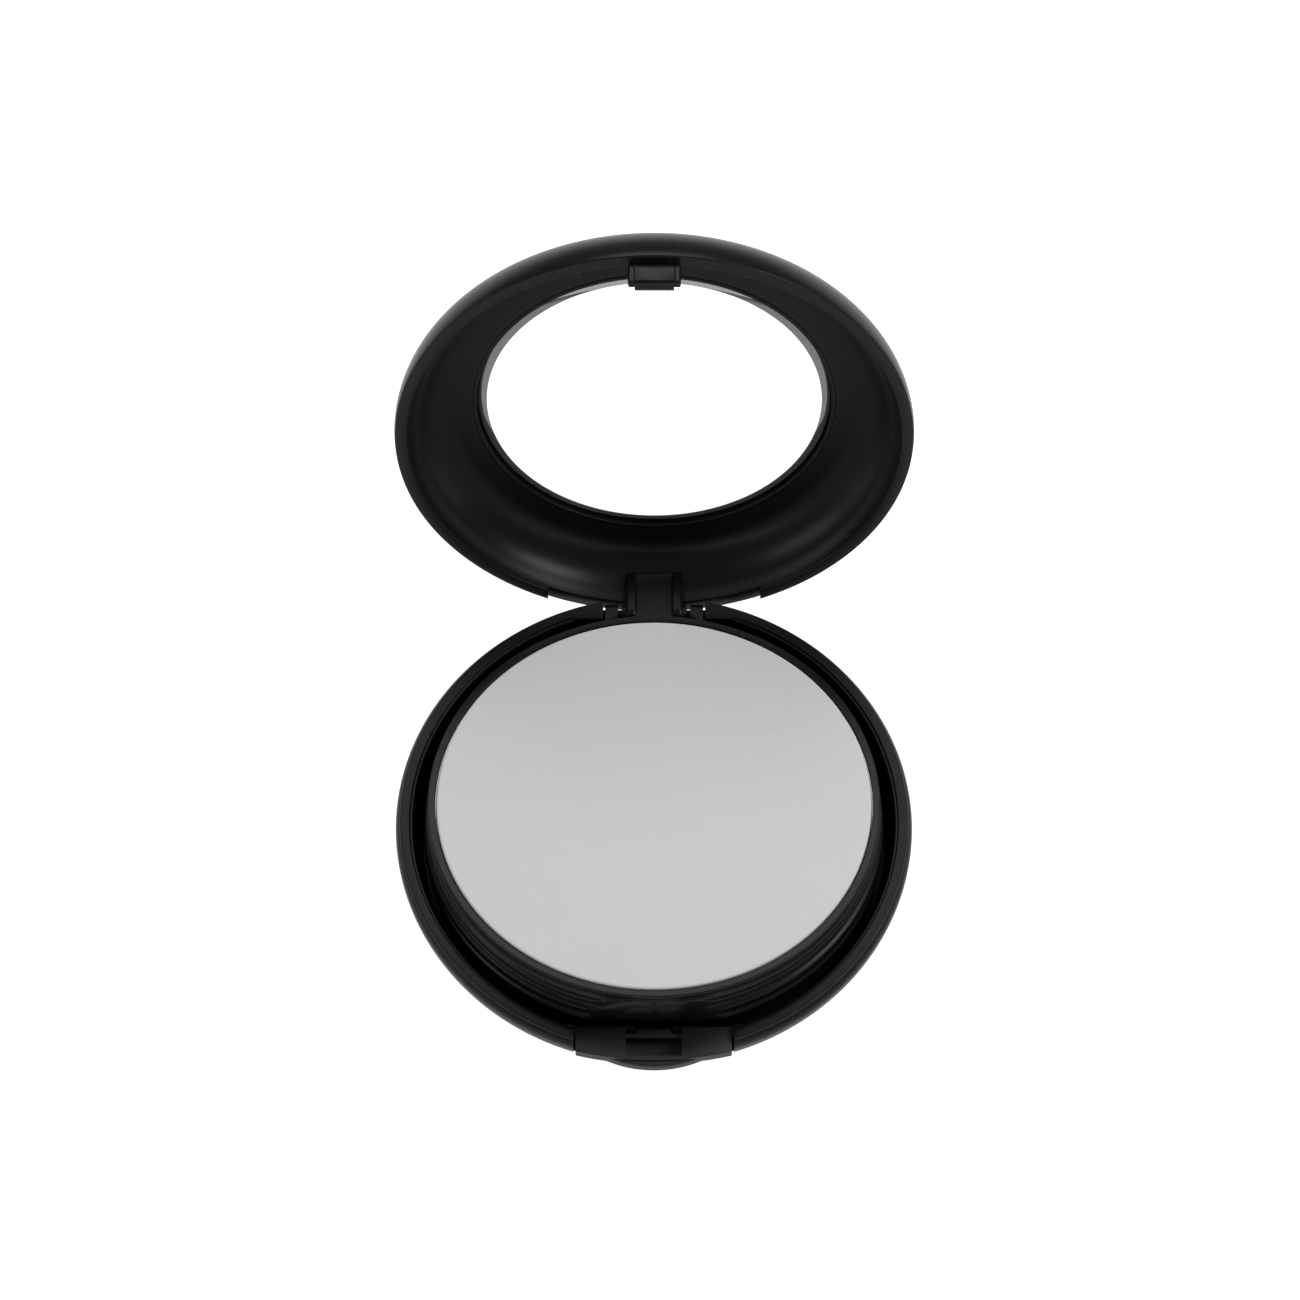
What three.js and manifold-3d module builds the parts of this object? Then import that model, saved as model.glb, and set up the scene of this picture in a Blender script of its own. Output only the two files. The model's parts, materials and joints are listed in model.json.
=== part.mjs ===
// Powder compact: a round two-tier case with a mirror lid, a hinged powder tray that a sponge
// pushes up from below, and a push-button catch. Millimetres, +Z up, -Y is the front.
// The origin is the centre of the flat foot. The lid stands open and the tray is raised.
import * as THREE from "three";
import { mergeVertices } from "three/addons/utils/BufferGeometryUtils.js";
import Module from "manifold-3d";

const wasm = await Module();
wasm.setup();

// ---- driving dimensions ----
const panRadius = 30.05;
const caseMargin = 5.4;          // pan's edge to the widest radius of the base
const lidOverhang = 0.05;        // how much wider the lid is
const baseHeight = 9.5;          // foot to rim plane
const lidHeight = 10.2;          // rim plane to top
const flankWidth = 11.45;        // widest radius in to the flat foot
const rimWidth = 1.75;           // flat top of the base rim
const wall = 1.6;                // floor of the base
const cakeThickness = 2.2;
const panWall = 0.25;            // pressed sheet of the pan
const cakeProud = 1.3;           // cake surface above the rim plane when the tray is down
const mirrorRadius = 24.15;
const mirrorThickness = 1.0;
const mirrorBevel = 1.15;        // ground edge of the glass
const lidDepth = 7.0;            // rim plane to the lid's inner floor
const hingeInset = 2.45;         // widest radius to hinge axis
const hingeDrop = 1.8;           // rim plane down to hinge axis
const pinRadius = 0.6;
const knuckleWidth = 8;          // the lid's hinge lug, across both sides
const earWidth = 1.8;            // each ear of the tray
const buttonWidth = 21.2;
const buttonTravel = 0.6;
const catchWidth = 7.1;
const lidOpenAngle = 104.4;      // degrees, from closed to the stop
const trayRaisedAngle = 5.75;    // degrees, from seated to raised by the sponge

// ---- clearances ----
const gap = 0.3;                 // between pieces that touch or pass
const pinClearance = 0.08;       // radial, a pin in its bore
const bond = 0.1;                // face of a glue layer to what it holds
const powderGap = 0.05;          // radial, powder in its pan
const lipGap = 0.15;             // radial, tray lip round the powder
const catchClearance = 0.25;     // each side of the catch in its pocket

// ---- derived sizes ----
const bodyRadius = panRadius + caseMargin;
const lidRadius = bodyRadius + lidOverhang;
const footRadius = bodyRadius - flankWidth;
const rimZ = baseHeight;
const rimOuter = bodyRadius - 0.6;
const rimInner = rimOuter - rimWidth;
const axisY = bodyRadius - hingeInset;
const axisZ = rimZ - hingeDrop;
const trayRadius = rimInner - 1.5;               // foot of the tray collar
const trayFloor = 0.8;
const skirtDepth = 7.6;                           // cake surface down to the tray's foot
const skirtInner = panRadius - 1.25;
const compartmentRadius = skirtInner - 0.2;       // lower well, for the sponge
const glueThickness = 0.3;
const cakeRadius = panRadius - panWall - powderGap;
const lipUnder = 0.65;                            // cake surface down to the underside of the lip
const panHeight = cakeThickness + panWall - lipUnder - 0.15;
const trayDepth = cakeThickness + panWall + glueThickness + 2 * bond + trayFloor;
const seatDepth = skirtDepth - cakeProud + gap;   // rim plane down to the ledge below the skirt
const lugHalf = knuckleWidth / 2;
const earInner = lugHalf + 1;
const earOuter = earInner + earWidth;
const slotHalf = earOuter + gap;
const buttonTop = 0.9;                            // rim plane down to the button's top
const buttonDepth = 5;                            // rim plane down to the button's underside
const guardBack = panRadius + 0.4;                // thin wall between the tray and the button
const guardThickness = 0.5;
const plateBack = guardBack + guardThickness;     // rear edge of the button's top plate
const bodyBack = plateBack + buttonTravel + 0.05; // rear face of the button's body
const buttonFront = bodyRadius + 0.4;             // middle of the button's front edge
const frontSag = 1.3;                             // how far the button's ends fall back
const catchLength = 3.3;                          // below the lid's rim plane
const catchOuter = bodyRadius - 1.6;
const catchInner = catchOuter - 1.1;
const hookReach = 0.95;
const pocketHalf = catchWidth / 2 + catchClearance;
const ledgeFront = catchInner - 0.65;             // ledge of the button that the hook goes under
const ledgeTop = 1.5;                             // rim plane down to the ledge
const lipHalf = 8.1;                              // thumb lip in the middle of the button
const tongueHalf = 2.35;                          // tongue behind the ledge, through the guard
const SEGMENTS = 64;

// ---- solid helpers ----
function solid(geometry) {
  const bare = geometry.clone();
  bare.deleteAttribute("normal");
  bare.deleteAttribute("uv");
  const merged = mergeVertices(bare, 1e-4);
  const index = merged.index.array;
  const tris = [];
  for (let i = 0; i < index.length; i += 3) {
    const [a, b, c] = [index[i], index[i + 1], index[i + 2]];
    if (a !== b && b !== c && a !== c) tris.push(a, b, c);
  }
  const build = (list) => new wasm.Manifold(new wasm.Mesh({
    numProp: 3,
    vertProperties: new Float32Array(merged.attributes.position.array),
    triVerts: new Uint32Array(list),
  }));
  const body = build(tris);
  if (body.volume() > 0) return body;
  for (let i = 0; i < tris.length; i += 3) [tris[i + 1], tris[i + 2]] = [tris[i + 2], tris[i + 1]];
  return build(tris);
}

// Turns an outline of [radius, height] points about the Z axis.
function turned(points, segments = SEGMENTS) {
  const profile = points.map(([r, z]) => new THREE.Vector2(r, z));
  return solid(new THREE.LatheGeometry(profile, segments).rotateX(Math.PI / 2));
}

function disc(radius, low, high, segments = SEGMENTS) {
  return turned([[0, low], [radius, low], [radius, high], [0, high]], segments);
}

function box(x0, x1, y0, y1, z0, z1) {
  const geometry = new THREE.BoxGeometry(x1 - x0, y1 - y0, z1 - z0);
  return solid(geometry.translate((x0 + x1) / 2, (y0 + y1) / 2, (z0 + z1) / 2));
}

// A plan outline of [x, y] points pushed up from low to high.
function slab(points, low, high) {
  const shape = new THREE.Shape(points.map(([x, y]) => new THREE.Vector2(x, y)));
  const geometry = new THREE.ExtrudeGeometry(shape, { depth: high - low, bevelEnabled: false });
  return solid(geometry.translate(0, 0, low));
}

// A side outline of [y, z] points pushed along X from x0 to x1.
function sideSlab(points, x0, x1) {
  const shape = new THREE.Shape(points.map(([y, z]) => new THREE.Vector2(y, z)));
  const geometry = new THREE.ExtrudeGeometry(shape, { depth: x1 - x0, bevelEnabled: false });
  geometry.rotateY(Math.PI / 2).rotateX(Math.PI / 2);
  return solid(geometry.translate(x0, 0, 0));
}

function rod(y, z, radius, x0, x1, segments = 28) {
  const geometry = new THREE.CylinderGeometry(radius, radius, x1 - x0, segments);
  return solid(geometry.rotateZ(Math.PI / 2).translate((x0 + x1) / 2, y, z));
}

// Points of an ellipse arc, angles in degrees from +r towards +z.
function arc(cr, cz, sr, sz, from, to, steps) {
  return Array.from({ length: steps + 1 }, (_, i) => {
    const a = THREE.MathUtils.degToRad(from + (to - from) * i / steps);
    return [cr + sr * Math.cos(a), cz + sz * Math.sin(a)];
  });
}

function mirrored(make) {
  return [-1, 1].map((side) => make(side));
}

// ---- base ----
const widestZ = rimZ - 1.7;

function makeBaseShell() {
  const outline = [
    [0, 0.35], [13.5, 0.35], [13.5, 0],
    ...arc(footRadius, widestZ, bodyRadius - footRadius, widestZ, -90, 0, 12),
    ...arc(bodyRadius - 1.7, widestZ, 1.7, 1.7, 12, 50, 3),
    [rimOuter, rimZ], [rimInner + 0.4, rimZ],
    [rimInner + 0.4, rimZ - 0.3], [rimInner, rimZ - 0.3],
    [rimInner, rimZ - 2.9], [trayRadius + gap, rimZ - seatDepth],
    [compartmentRadius, rimZ - seatDepth],
    ...arc(compartmentRadius - 1.5, wall + 1.5, 1.5, 1.5, 0, -90, 4),
    [0, wall],
  ];
  let shell = turned(outline);
  const buttonHalf = buttonWidth / 2 + gap;
  const shellLow = rimZ - buttonDepth - gap;
  // Front: a straight rim and a thin guard wall behind the button, and the slot for the button.
  const front = box(-rimInner, rimInner, -rimInner, -plateBack, rimZ - seatDepth, rimZ);
  shell = shell.add(front.intersect(disc(rimInner + 0.2, 0, rimZ)));
  const guard = box(-buttonHalf - 2, buttonHalf + 2, -plateBack, -guardBack,
    rimZ - seatDepth - 0.5, rimZ - 1.6);
  shell = shell.add(guard.intersect(disc(rimInner + 0.2, 0, rimZ)));
  shell = shell.subtract(box(-buttonHalf, buttonHalf, -50, -plateBack, shellLow, rimZ + 5));
  const notchHalf = tongueHalf + gap;
  shell = shell.subtract(box(-notchHalf, notchHalf, -guardBack - 1, -guardBack + 1, rimZ - 2.5,
    rimZ + 5));
  // Rear: lugs that hold the pins, and the slot that the lid's lug and the tray's ears turn in.
  const lug = box(-slotHalf - 4, slotHalf + 4, axisY - 1.6, axisY + 0.4, rimZ - 5, rimZ);
  shell = shell.add(lug.intersect(disc(rimOuter, 0, rimZ)));
  shell = shell.subtract(box(-slotHalf, slotHalf, axisY - 3.4, 50, rimZ - 4.6, rimZ + 5));
  return shell.subtract(rod(axisY, axisZ, pinRadius + 0.02, -slotHalf - 3, slotHalf + 3));
}

function makeBaseLabel() {
  return disc(13.2, 0, 0.25, 48);
}

function makePin(side) {
  const ends = [side * (lugHalf - 2.6), side * (slotHalf + 2.8)].sort((a, b) => a - b);
  return rod(axisY, axisZ, pinRadius, ...ends, 20);
}

const spongeRadius = compartmentRadius - 3;
const spongeRise = 1.65;         // free height above the seated tray's underside
const spongeThickness = rimZ + cakeProud - trayDepth - wall - bond + spongeRise;

// The sponge stands free at the front and is pressed to a wedge at the back, under the tray.
function makeSponge() {
  const low = wall + bond;
  const high = low + spongeThickness;
  const sponge = turned([
    [0, low], ...arc(spongeRadius - 1, low + 1, 1, 1, -90, 0, 3),
    ...arc(spongeRadius - 1, high - 1, 1, 1, 0, 90, 3), [0, high],
  ], 48);
  const under = rimZ + cakeProud - trayDepth - 2 * gap;
  const tilt = Math.tan(THREE.MathUtils.degToRad(trayRaisedAngle));
  const press = sideSlab([
    [axisY, under], [axisY, 40], [-axisY, 40], [-axisY, under + 2 * axisY * tilt],
  ], -40, 40);
  return sponge.subtract(press);
}

// ---- tray: height zero is the cake surface, and the tray is flat and seated ----
const trayLow = -trayDepth;
const panLow = -(cakeThickness + panWall);
const pocketRadius = panRadius + 0.25;
const lipRadius = cakeRadius + lipGap;            // the lip hides the edge of the pan

function makeTray() {
  const low = -skirtDepth;
  const outline = [
    [0, trayLow], [skirtInner, trayLow], [skirtInner, low], [trayRadius, low],
    [trayRadius, low + 0.7], [trayRadius - 0.15, low + 1],
    [trayRadius - 0.15, low + 2.6], [trayRadius - 0.5, low + 2.9],
    [trayRadius - 0.5, low + 4.6], [trayRadius - 0.65, low + 4.9],
    [trayRadius - 0.65, low + 6],
    [pocketRadius + 0.75, -0.75], [pocketRadius + 0.6, -0.3], [lipRadius + 0.15, -0.3],
    [lipRadius, -0.45], [lipRadius, -lipUnder], [pocketRadius, -lipUnder],
    [pocketRadius, panLow - glueThickness - 2 * bond],
    [0, panLow - glueThickness - 2 * bond],
  ];
  let tray = turned(outline);
  // Flat front of the collar, where it passes the button.
  const flat = box(-buttonWidth / 2 - 1.6, buttonWidth / 2 + 1.6, -50, -panRadius - 0.02,
    low - 1, -1.95);
  tray = tray.subtract(flat.subtract(disc(panRadius + 0.1, low - 2, 1)));
  // Ears that hang on the pins behind the collar.
  const eyeZ = -cakeProud - hingeDrop;
  for (const ear of mirrored((side) => makeEar(side, eyeZ))) tray = tray.add(ear);
  tray = tray.subtract(rod(axisY, eyeZ, pinRadius + pinClearance, -earOuter - 1, earOuter + 1));
  const slotFloor = box(-lugHalf - gap, lugHalf + gap, axisY - 2.2, 50, -9, -0.8);
  return tray.subtract(slotFloor);
}

function makeEar(side, eyeZ) {
  const [x0, x1] = [side * earInner, side * earOuter].sort((a, b) => a - b);
  const eye = rod(axisY, eyeZ, 1.35, x0, x1);
  const arm = sideSlab([
    [axisY - 2.9, trayLow - 0.1], [axisY, eyeZ - 1.35], [axisY, eyeZ + 1.35], [axisY - 2.9, -1.1],
  ], x0, x1);
  return eye.add(arm);
}

function makePan() {
  const inner = panRadius - panWall;
  return turned([
    [0, panLow], [panRadius - 0.4, panLow], [panRadius, panLow + 0.4],
    [panRadius, panLow + panHeight],
    [inner, panLow + panHeight], [inner, panLow + panWall + 0.1], [inner - 0.1, panLow + panWall],
    [0, panLow + panWall],
  ]);
}

function makeCake() {
  const r = cakeRadius;
  const low = panLow + panWall + powderGap;
  return turned([[0, low], [r - 0.2, low], [r, low + 0.2], ...arc(r - 0.5, -0.5, 0.5, 0.5, 0, 90, 3),
    [0, 0]]);
}

function makePanGlue() {
  return disc(panRadius - 5, panLow - bond - glueThickness, panLow - bond, 48);
}

// ---- lid: height zero is its rim plane, and it is closed ----
const mirrorBack = 0.35 + mirrorThickness;       // inner floor to the back of the glass
const mirrorPocket = mirrorBack + glueThickness + 2 * bond;
const lidRimInner = lidRadius - 1.75;
const domeRadius = lidRadius - 11;
const coveStart = mirrorRadius + 2.85;
const rearRelief = 0.8;                          // height cut from the rim over the hinge
const lugRadius = 1.5;
const shoulder = 0.5;                            // round shoulder on each side of the lug
const lugReach = 4.3;                            // the lug's straight face into the lid

function makeLidShell() {
  const low = 0.9;
  const outline = [
    [lidRimInner, 0], [lidRadius - 0.1, 0],
    ...arc(domeRadius, low, lidRadius - domeRadius, lidHeight - low, 0, 90, 14),
    [0, lidHeight], [0, lidDepth + mirrorPocket],
    [mirrorRadius + 0.15, lidDepth + mirrorPocket], [mirrorRadius + 0.15, lidDepth - 0.2],
    [mirrorRadius + 0.6, lidDepth - 0.2], [mirrorRadius + 0.8, lidDepth],
    ...arc(coveStart, 0, lidRimInner - coveStart, lidDepth, 90, 5, 9), [lidRimInner, 0],
  ];
  let shell = turned(outline);
  // Rear relief of the rim, full through the wall.
  shell = shell.subtract(slab([[-14.6, 20], [14.6, 20], [15, 50], [-15, 50]], -1, rearRelief));
  // Hinge lug: two cheeks round the pins, joined by a sunk web.
  const eyeZ = -hingeDrop - gap;
  for (const cheek of mirrored((side) => makeCheek(side, eyeZ))) shell = shell.add(cheek);
  shell = shell.add(makeWeb(eyeZ));
  for (const side of [-1, 1]) {
    const ends = [side * (lugHalf - 0.1), side * (lugHalf + shoulder)].sort((a, b) => a - b);
    shell = shell.add(rod(axisY, eyeZ, lugRadius - 0.2, ...ends));
  }
  shell = shell.subtract(rod(axisY, eyeZ, pinRadius + pinClearance, -lugHalf - 1, lugHalf + 1));
  // Catch: a plate on the front wall with a hook that faces inwards.
  shell = shell.add(makeCatch());
  for (const side of [-1, 1]) shell = shell.add(makeRib(side));
  return shell;
}

function lugOutline(eyeZ) {
  const r = lugRadius;
  return [
    ...arc(axisY, eyeZ, r, r, 180, 360, 10),
    [axisY + r, 2.2], [axisY - 0.8, lugReach + 1], [axisY - r, lugReach],
  ];
}

function makeCheek(side, eyeZ) {
  const [x0, x1] = [side * (lugHalf - 1.6), side * lugHalf].sort((a, b) => a - b);
  return sideSlab(lugOutline(eyeZ), x0, x1);
}

function makeWeb(eyeZ) {
  const sunkY = axisY - lugRadius + 0.6;
  return sideSlab([
    [sunkY, eyeZ - 1.4], [axisY + 0.9, eyeZ - 1.4], [axisY + 1.3, 2.2],
    [axisY - 0.7, lugReach + 0.9], [axisY - lugRadius, lugReach - 0.1], [sunkY, lugReach - 0.8],
  ], -lugHalf + 1.5, lugHalf - 1.5);
}

function makeCatch() {
  const half = catchWidth / 2;
  const plate = sideSlab([
    [-catchOuter, 1.2], [-catchOuter, -catchLength + 0.3], [-catchOuter + 0.3, -catchLength],
    [-catchInner + 0.1, -catchLength], [-catchInner + hookReach, -catchLength + 0.35],
    [-catchInner + hookReach, -catchLength + 0.6], [-catchInner, -catchLength + 0.7],
    [-catchInner, 1.6],
  ], -half + 0.9, half - 0.9);
  const wings = mirrored((side) => {
    const [x0, x1] = [side * (half - 1), side * half].sort((a, b) => a - b);
    return box(x0, x1, -catchOuter, -catchInner + 0.15, -catchLength, 1.4);
  });
  return wings.reduce((sum, wing) => sum.add(wing), plate);
}

function makeRib(side) {
  const x = side * 10.3;
  return box(x - 0.45, x + 0.45, -catchOuter + 1.3, -catchOuter + 3.2, 0.6, 3.2);
}

function makeMirror() {
  const low = lidDepth + 0.35;
  return turned([[0, low], [mirrorRadius - mirrorBevel, low], [mirrorRadius - 0.05, low + 0.35],
    [mirrorRadius - 0.05, low + mirrorThickness], [0, low + mirrorThickness]]);
}

function makeMirrorGlue() {
  const low = lidDepth + mirrorBack + bond;
  return disc(mirrorRadius - 4, low, low + glueThickness, 48);
}

// ---- latch button: in the base's place ----
function frontArc(half, back, front, sag, steps = 12) {
  const radius = (half * half + sag * sag) / (2 * sag);
  const swing = Math.asin(half / radius);
  const points = [];
  for (let i = 0; i <= steps; i++) {
    const a = -swing + 2 * swing * i / steps;
    points.push([radius * Math.sin(a), -front + radius * (1 - Math.cos(a))]);
  }
  return [...points, [half, -back], [-half, -back]];
}

function makeButton() {
  const half = buttonWidth / 2;
  const top = rimZ - buttonTop;
  const low = rimZ - buttonDepth;
  let button = slab(frontArc(half, plateBack, buttonFront, frontSag), top - 0.6, top);
  button = button.add(slab(frontArc(half, bodyBack, buttonFront - 1, frontSag), top - 1.5, top - 0.5));
  const face = slab(frontArc(half, bodyBack, buttonFront - 1.3, frontSag), low, top - 1.3);
  button = button.add(face);
  const lip = slab(frontArc(lipHalf, buttonFront - 3, buttonFront + 0.75, 2.3), top - 2,
    top - 0.35);
  button = button.add(lip);
  // Pocket for the catch, open at the rear, with the ledge across it and the tongue behind.
  const pocketFloor = rimZ - catchLength;
  const pocket = box(-pocketHalf, pocketHalf, -buttonFront + 0.65, -bodyBack + 3, pocketFloor,
    top + 1);
  button = button.subtract(pocket);
  const [ledgeLow, ledgeHigh] = [rimZ - ledgeTop - 0.6, rimZ - ledgeTop];
  const ledge = box(-pocketHalf - 0.2, pocketHalf + 0.2, -ledgeFront, -bodyBack, ledgeLow, ledgeHigh);
  const tongue = box(-tongueHalf, tongueHalf, -ledgeFront, -plateBack, ledgeLow, ledgeHigh);
  return button.add(ledge).add(tongue);
}

// ---- materials and assembly ----
const paint = (color, roughness, metalness = 0) =>
  new THREE.MeshStandardMaterial({ color, roughness, metalness });
const blackSatin = paint(0x18191a, 0.42);
const blackGloss = paint(0x141516, 0.28);
const powder = paint(0xc9cbc8, 0.95);
const tin = paint(0xb9bbbd, 0.35, 1);
const silver = paint(0xf2f4f5, 0.03, 1);
const foam = paint(0xe9d9c6, 0.95);
const paper = paint(0xe8e8e6, 0.7);
const glue = paint(0xd8d6cc, 0.6);

function mesh(name, body, material) {
  const { vertProperties, triVerts, numProp } = body.getMesh();
  const geometry = new THREE.BufferGeometry();
  const positions = new Float32Array(triVerts.length * 3);
  triVerts.forEach((v, i) => {
    for (let k = 0; k < 3; k++) positions[i * 3 + k] = vertProperties[v * numProp + k];
  });
  geometry.setAttribute("position", new THREE.BufferAttribute(positions, 3));
  geometry.computeVertexNormals();
  const part = new THREE.Mesh(geometry, material);
  part.name = name;
  return part;
}

const group = new THREE.Group();
group.add(
  mesh("base_shell", makeBaseShell(), blackSatin),
  mesh("base_label", makeBaseLabel(), paper),
  mesh("sponge", makeSponge(), foam),
  mesh("hinge_pin_left", makePin(-1), blackSatin),
  mesh("hinge_pin_right", makePin(1), blackSatin),
  mesh("latch_button", makeButton(), blackSatin),
);

// A turned group about the hinge axis; its content is placed as if closed or seated.
function swung(angle, zeroHeight, parts) {
  const pivot = new THREE.Group();
  pivot.position.set(0, axisY, axisZ);
  pivot.rotation.x = -THREE.MathUtils.degToRad(angle);
  for (const part of parts) {
    part.position.set(0, -axisY, zeroHeight - axisZ);
    pivot.add(part);
  }
  return pivot;
}

group.add(swung(trayRaisedAngle, rimZ + cakeProud, [
  mesh("inner_tray", makeTray(), blackGloss),
  mesh("pan", makePan(), tin),
  mesh("pan_adhesive", makePanGlue(), glue),
  mesh("powder_cake", makeCake(), powder),
]));

group.add(swung(lidOpenAngle, rimZ + gap, [
  mesh("lid_shell", makeLidShell(), blackGloss),
  mesh("mirror", makeMirror(), silver),
  mesh("mirror_adhesive", makeMirrorGlue(), glue),
]));

export default group;
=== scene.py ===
"""Looks of a round powder compact: fine surfaces, finishes, floor, lights and camera."""
import json
from math import cos, pi, radians, sin, tan

import bmesh
import bpy
import numpy as np
from bpy.props import FloatProperty, FloatVectorProperty, PointerProperty
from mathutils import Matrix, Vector


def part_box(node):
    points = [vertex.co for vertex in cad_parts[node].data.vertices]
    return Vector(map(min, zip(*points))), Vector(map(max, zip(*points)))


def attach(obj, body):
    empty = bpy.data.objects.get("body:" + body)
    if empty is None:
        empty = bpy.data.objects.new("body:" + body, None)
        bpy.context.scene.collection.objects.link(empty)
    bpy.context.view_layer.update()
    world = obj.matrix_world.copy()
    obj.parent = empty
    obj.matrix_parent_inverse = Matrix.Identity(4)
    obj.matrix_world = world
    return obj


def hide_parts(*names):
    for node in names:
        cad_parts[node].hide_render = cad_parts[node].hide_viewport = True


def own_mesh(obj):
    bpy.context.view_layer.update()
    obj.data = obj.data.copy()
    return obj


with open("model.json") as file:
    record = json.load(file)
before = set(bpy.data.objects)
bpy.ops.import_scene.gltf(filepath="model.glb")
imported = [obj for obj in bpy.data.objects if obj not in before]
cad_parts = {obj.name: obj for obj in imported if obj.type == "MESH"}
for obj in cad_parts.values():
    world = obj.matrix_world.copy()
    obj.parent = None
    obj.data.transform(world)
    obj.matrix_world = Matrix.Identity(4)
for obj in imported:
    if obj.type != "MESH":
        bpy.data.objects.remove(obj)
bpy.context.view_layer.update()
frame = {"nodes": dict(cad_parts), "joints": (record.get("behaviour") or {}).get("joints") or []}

bl_info = {
    "name": "Powder Compact",
    "version": (1, 0, 0),
    "blender": (4, 5, 0),
    "location": "3D View > Sidebar > Compact",
    "description": "Makes the fine surfaces and finishes of a two-tier powder compact",
    "category": "Add Mesh",
}

MM = 0.001
MERGE = 1e-7            # points nearer than this are one, in metres
FAR = 50                # beyond every piece, for cutters, in millimetres
ABOVE = 5               # how far a cutter runs on above the rim, in millimetres

# Studio, in metres, watts and degrees: name, place, target, size, power.
LIGHTS = (
    ("key_right", (0.55, 0.05, 0.6), (0, 0, 0.01), (0.35, 0.35), 3.4),
    ("fill_left", (-0.6, -0.2, 0.3), (0, 0, 0.01), (0.25, 0.4), 0.8),
    ("front_low", (0.0, -0.8, 0.12), (0, 0, 0.02), (0.9, 0.12), 0.8),
    ("top_back", (0.0, 0.55, 0.8), (0, 0, 0.01), (0.6, 0.4), 3.4),
)
SKY_STRENGTH = 0.34
FLOOR_GLOW = 0.95
# Strength of the white emission on the mirror's flat face: a painted white reflection.
MIRROR_PAINTED_REFLECTION = 0.85
CAMERA_ELEVATION = 63.225
CAMERA_DISTANCE = 1.165
CAMERA_LENS, CAMERA_SENSOR = 235.2, 36.0        # millimetres
CAMERA_AIM = (-0.00056, 0.02337)                # to the side and up from the rim's centre
WHITE = (1.0, 1.0, 1.0, 1.0)


# ---------------------------------------------------------------- sizes read from the frame

def node_box(name):
    """Lowest and highest corner of a CAD node, in millimetres."""
    low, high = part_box(name)
    return np.array(low) / MM, np.array(high) / MM


def joint(name):
    return next(j for j in frame["joints"] if j["name"] == name)


BASE_HIGH = node_box("base_shell")[1]
BUTTON_LOW, BUTTON_HIGH = node_box("latch_button")
AXIS_Y = joint("lid_hinge")["pos_m"][1] / MM
AXIS_Z = joint("lid_hinge")["pos_m"][2] / MM
LID_OPEN = -joint("lid_hinge")["range_deg"][0]
LID_RADIUS = node_box("lid_shell")[1][0]
MIRROR_RADIUS = node_box("mirror")[1][0]
PAN_RADIUS = node_box("pan")[1][0]
CAKE_RADIUS = node_box("powder_cake")[1][0]
BODY_RADIUS = BASE_HIGH[0]
RIM_Z = BASE_HIGH[2]
BUTTON_HALF = BUTTON_HIGH[0]


class CompactSizes(bpy.types.PropertyGroup):
    """Sizes that the frame leaves to the surface, in millimetres"""
    gap: FloatProperty(name="Gap", description="Play between pieces that pass", default=0.3)
    tray_raised: FloatProperty(
        name="Tray raised", description="Angle from seated to raised, degrees", default=5.75)
    rim_width: FloatProperty(name="Rim width", description="Flat top of the base rim", default=1.75)
    wall: FloatProperty(name="Wall", description="Floor of the base", default=1.6)
    foot_radius: FloatProperty(name="Foot", description="Flat foot of the base", default=24.0)
    cake_proud: FloatProperty(
        name="Cake proud", description="Cake above the rim when seated", default=1.3)
    cake_thickness: FloatProperty(name="Cake", description="Thickness of the powder", default=2.2)
    pan_wall: FloatProperty(name="Pan wall", description="Sheet of the pan", default=0.25)
    lid_height: FloatProperty(name="Lid height", description="Rim plane to top", default=10.2)
    lid_depth: FloatProperty(name="Lid depth", description="Rim plane to inner floor", default=7.0)
    dome_radius: FloatProperty(name="Dome", description="Flat top of the lid", default=24.5)
    mirror_thickness: FloatProperty(name="Mirror", description="Glass thickness", default=1.0)
    edge: FloatProperty(name="Edge", description="Rounding of moulded edges", default=0.14)


class CompactColours(bpy.types.PropertyGroup):
    """Colours of the finishes, linear"""
    case: FloatVectorProperty(
        name="Case", description="Black plastic", subtype="COLOR", default=(0.0030, 0.0031, 0.0033))
    powder: FloatVectorProperty(
        name="Powder", description="Pressed powder", subtype="COLOR", default=(0.533, 0.536, 0.535))
    foam: FloatVectorProperty(
        name="Foam", description="Sponge", subtype="COLOR", default=(0.78, 0.60, 0.44))
    paper: FloatVectorProperty(
        name="Label", description="Blank label", subtype="COLOR", default=(0.62, 0.62, 0.60))
    floor: FloatVectorProperty(
        name="Floor", description="Studio floor", subtype="COLOR", default=(0.35, 0.35, 0.35))


# ---------------------------------------------------------------- surfaces

def sizes():
    return bpy.context.scene.compact_sizes


def colours():
    return bpy.context.scene.compact_colours


def arc(centre, radii, start, end, steps):
    """Points centre + (a cos t, b sin t) for t from start to end, in degrees."""
    t = np.radians(np.linspace(start, end, steps + 1))
    return np.column_stack([centre[0] + radii[0] * np.cos(t), centre[1] + radii[1] * np.sin(t)])


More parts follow.
